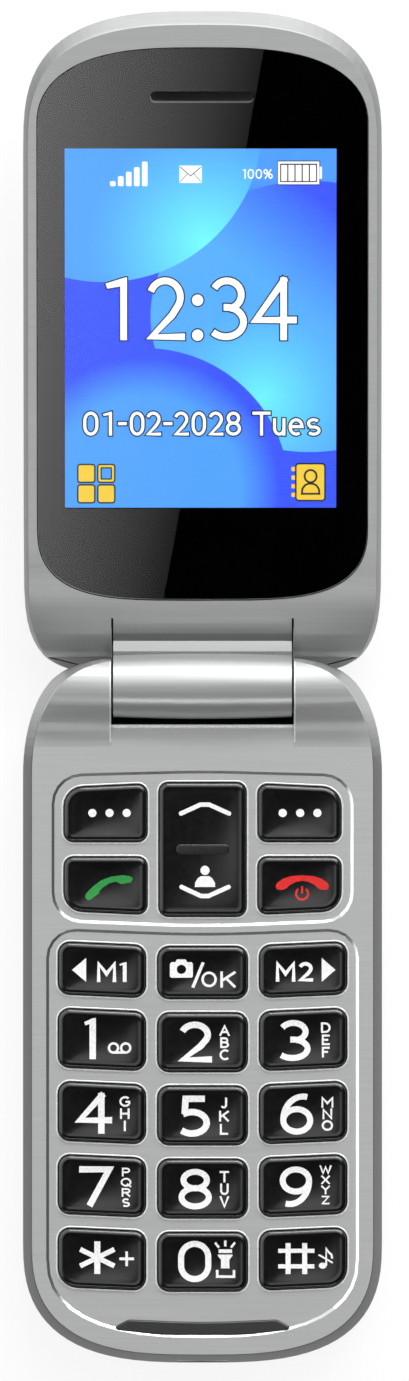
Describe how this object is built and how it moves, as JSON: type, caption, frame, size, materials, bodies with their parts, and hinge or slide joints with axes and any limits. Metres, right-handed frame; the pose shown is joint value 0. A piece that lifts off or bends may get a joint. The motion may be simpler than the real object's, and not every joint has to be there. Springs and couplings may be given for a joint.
{
  "type": "flip phone",
  "caption": "Clamshell mobile phone with silver casings, black keypad and tall glass display; the lid folds shut on a barrel hinge, the keys press and the battery cover comes off.",
  "frame": {"origin": "middle of the open phone's bounding box in plan, at the height of the base's back", "axes": "+X across the width, to the right as the phone is read; +Y up the open phone, from the keypad end to the display end; +Z out of the keypad's face"},
  "size_m": [0.0568, 0.2133, 0.0261],
  "materials": {
    "silver_paint": "satin",
    "black_key": "gloss",
    "dark_trim": "satin",
    "display_glass": "gloss",
    "lit_screen": "gloss",
    "camera_glass": "gloss",
    "clear_glass": "gloss",
    "white_led": "matte",
    "dark_mesh": "matte",
    "dark_module": "matte",
    "steel": "satin",
    "light_alloy": "satin",
    "battery_can": "satin",
    "gold_contact": "satin",
    "circuit_board": "satin",
    "silicone": "matte",
    "flat_cable": "satin"
  },
  "bodies": {
    "base": {"base_front_shell": "silver_paint", "base_rear_shell": "silver_paint", "battery": "battery_can", "battery_contacts": "gold_contact", "sim_socket": "steel", "main_board": "circuit_board", "board_shields": "steel", "keypad_sheet": "silicone", "key_domes": "steel", "mic_insert": "dark_trim", "microphone": "gold_contact", "loudspeaker": "dark_module", "vibration_motor": "steel", "usb_socket": "steel", "antenna": "gold_contact", "hall_sensor": "dark_module", "base_screws": "steel", "hinge_cartridge": "steel", "hinge_pin": "steel"},
    "battery_cover": {"battery_cover": "silver_paint"},
    "soft_left_key": {"soft_left_key": "black_key"},
    "soft_right_key": {"soft_right_key": "black_key"},
    "call_key": {"call_key": "black_key"},
    "end_key": {"end_key": "black_key"},
    "nav_key": {"nav_key": "black_key"},
    "m1_key": {"m1_key": "black_key"},
    "camera_key": {"camera_key": "black_key"},
    "m2_key": {"m2_key": "black_key"},
    "key_1": {"key_1": "black_key"},
    "key_2": {"key_2": "black_key"},
    "key_3": {"key_3": "black_key"},
    "key_4": {"key_4": "black_key"},
    "key_5": {"key_5": "black_key"},
    "key_6": {"key_6": "black_key"},
    "key_7": {"key_7": "black_key"},
    "key_8": {"key_8": "black_key"},
    "key_9": {"key_9": "black_key"},
    "star_key": {"star_key": "black_key"},
    "key_0": {"key_0": "black_key"},
    "hash_key": {"hash_key": "black_key"},
    "lid": {"lid_front_shell": "silver_paint", "lid_rear_shell": "silver_paint", "display_lens": "display_glass", "display_panel": "lit_screen", "display_frame": "light_alloy", "earpiece": "dark_module", "earpiece_mesh": "dark_mesh", "lid_board": "circuit_board", "camera_module": "dark_module", "camera_window": "camera_glass", "torch_led": "white_led", "torch_window": "clear_glass", "lid_magnet": "steel", "lid_screws": "steel", "lid_flex": "flat_cable"}
  },
  "joints": [
    {"name": "lid_hinge", "type": "hinge", "parent": "base", "child": "lid", "pos_m": [0, 0.00045, 0.0105], "axis": [1, 0, 0], "range_deg": [0, 171]},
    {"name": "cover_off", "type": "slide", "parent": "base", "child": "battery_cover", "axis": [0, 0, -1], "range_m": [0, 0.015]},
    {"name": "soft_left_press", "type": "slide", "parent": "base", "child": "soft_left_key", "axis": [0, 0, -1], "range_m": [0, 0.00035], "stiffness_N_per_m": 2500, "springref_m": -0.0001},
    {"name": "soft_right_press", "type": "slide", "parent": "base", "child": "soft_right_key", "axis": [0, 0, -1], "range_m": [0, 0.00035], "stiffness_N_per_m": 2500, "springref_m": -0.0001},
    {"name": "call_press", "type": "slide", "parent": "base", "child": "call_key", "axis": [0, 0, -1], "range_m": [0, 0.00035], "stiffness_N_per_m": 2500, "springref_m": -0.0001},
    {"name": "end_press", "type": "slide", "parent": "base", "child": "end_key", "axis": [0, 0, -1], "range_m": [0, 0.00035], "stiffness_N_per_m": 2500, "springref_m": -0.0001},
    {"name": "nav_rock", "type": "hinge", "parent": "base", "child": "nav_key", "pos_m": [0, -0.02533, 0.0084], "axis": [1, 0, 0], "range_deg": [-1.5, 1.5], "stiffness_Nm_per_rad": 0.4},
    {"name": "m1_press", "type": "slide", "parent": "base", "child": "m1_key", "axis": [0, 0, -1], "range_m": [0, 0.00035], "stiffness_N_per_m": 2500, "springref_m": -0.0001},
    {"name": "camera_press", "type": "slide", "parent": "base", "child": "camera_key", "axis": [0, 0, -1], "range_m": [0, 0.00035], "stiffness_N_per_m": 2500, "springref_m": -0.0001},
    {"name": "m2_press", "type": "slide", "parent": "base", "child": "m2_key", "axis": [0, 0, -1], "range_m": [0, 0.00035], "stiffness_N_per_m": 2500, "springref_m": -0.0001},
    {"name": "number_1_press", "type": "slide", "parent": "base", "child": "key_1", "axis": [0, 0, -1], "range_m": [0, 0.00035], "stiffness_N_per_m": 2500, "springref_m": -0.0001},
    {"name": "number_2_press", "type": "slide", "parent": "base", "child": "key_2", "axis": [0, 0, -1], "range_m": [0, 0.00035], "stiffness_N_per_m": 2500, "springref_m": -0.0001},
    {"name": "number_3_press", "type": "slide", "parent": "base", "child": "key_3", "axis": [0, 0, -1], "range_m": [0, 0.00035], "stiffness_N_per_m": 2500, "springref_m": -0.0001},
    {"name": "number_4_press", "type": "slide", "parent": "base", "child": "key_4", "axis": [0, 0, -1], "range_m": [0, 0.00035], "stiffness_N_per_m": 2500, "springref_m": -0.0001},
    {"name": "number_5_press", "type": "slide", "parent": "base", "child": "key_5", "axis": [0, 0, -1], "range_m": [0, 0.00035], "stiffness_N_per_m": 2500, "springref_m": -0.0001},
    {"name": "number_6_press", "type": "slide", "parent": "base", "child": "key_6", "axis": [0, 0, -1], "range_m": [0, 0.00035], "stiffness_N_per_m": 2500, "springref_m": -0.0001},
    {"name": "number_7_press", "type": "slide", "parent": "base", "child": "key_7", "axis": [0, 0, -1], "range_m": [0, 0.00035], "stiffness_N_per_m": 2500, "springref_m": -0.0001},
    {"name": "number_8_press", "type": "slide", "parent": "base", "child": "key_8", "axis": [0, 0, -1], "range_m": [0, 0.00035], "stiffness_N_per_m": 2500, "springref_m": -0.0001},
    {"name": "number_9_press", "type": "slide", "parent": "base", "child": "key_9", "axis": [0, 0, -1], "range_m": [0, 0.00035], "stiffness_N_per_m": 2500, "springref_m": -0.0001},
    {"name": "star_press", "type": "slide", "parent": "base", "child": "star_key", "axis": [0, 0, -1], "range_m": [0, 0.00035], "stiffness_N_per_m": 2500, "springref_m": -0.0001},
    {"name": "number_0_press", "type": "slide", "parent": "base", "child": "key_0", "axis": [0, 0, -1], "range_m": [0, 0.00035], "stiffness_N_per_m": 2500, "springref_m": -0.0001},
    {"name": "hash_press", "type": "slide", "parent": "base", "child": "hash_key", "axis": [0, 0, -1], "range_m": [0, 0.00035], "stiffness_N_per_m": 2500, "springref_m": -0.0001}
  ]
}
